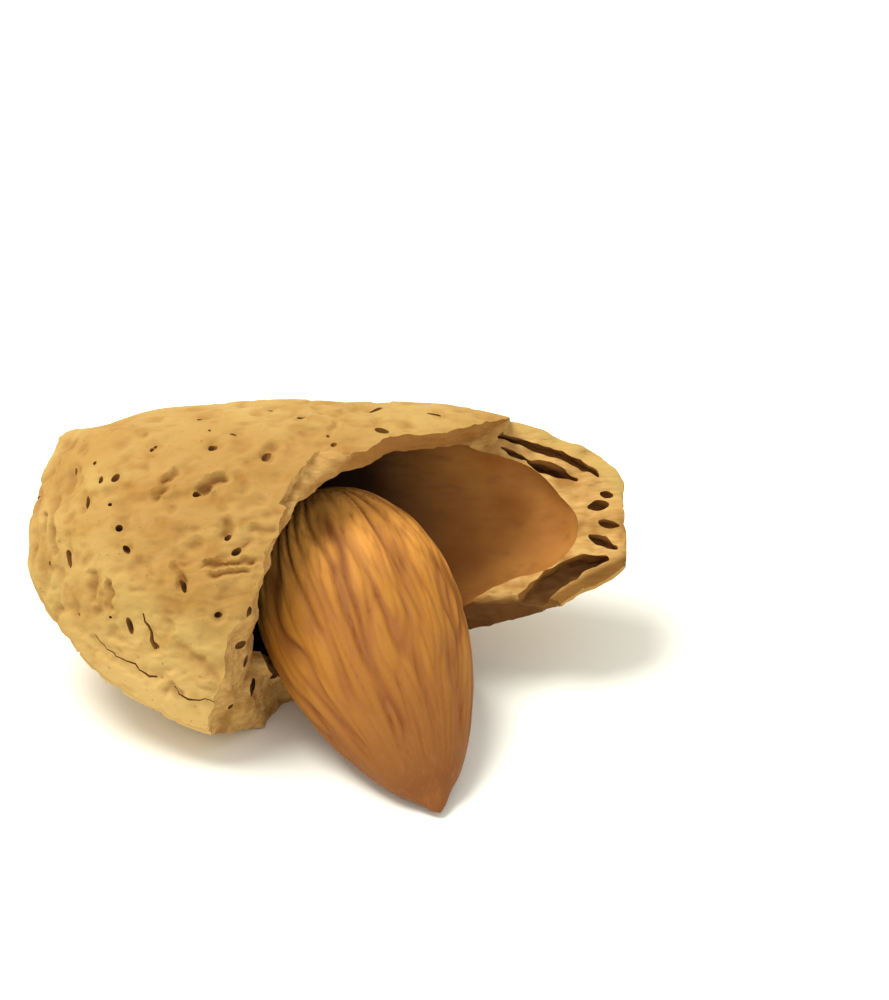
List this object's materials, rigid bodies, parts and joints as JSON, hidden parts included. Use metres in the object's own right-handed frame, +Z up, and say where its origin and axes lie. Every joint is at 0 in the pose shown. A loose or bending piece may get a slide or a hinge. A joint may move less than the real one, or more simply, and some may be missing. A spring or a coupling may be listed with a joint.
{
  "type": "almond in a broken shell",
  "caption": "Almond nut lying cracked open: a pitted woody shell with one side broken away, and the brown kernel slid half out of it.",
  "frame": {"origin": "on the surface that the nut lies on, under the middle of the whole object's box", "axes": "+X from the shell's stem end to its tip, -Y the side on which the kernel comes out, +Z up"},
  "size_m": [0.0373, 0.0257, 0.0164],
  "materials": {
    "shell": "matte, raw and fibrous",
    "kernel": "satin, dry wrinkled skin"
  },
  "bodies": {
    "root": {"shell": "shell", "kernel": "kernel"}
  },
  "joints": []
}
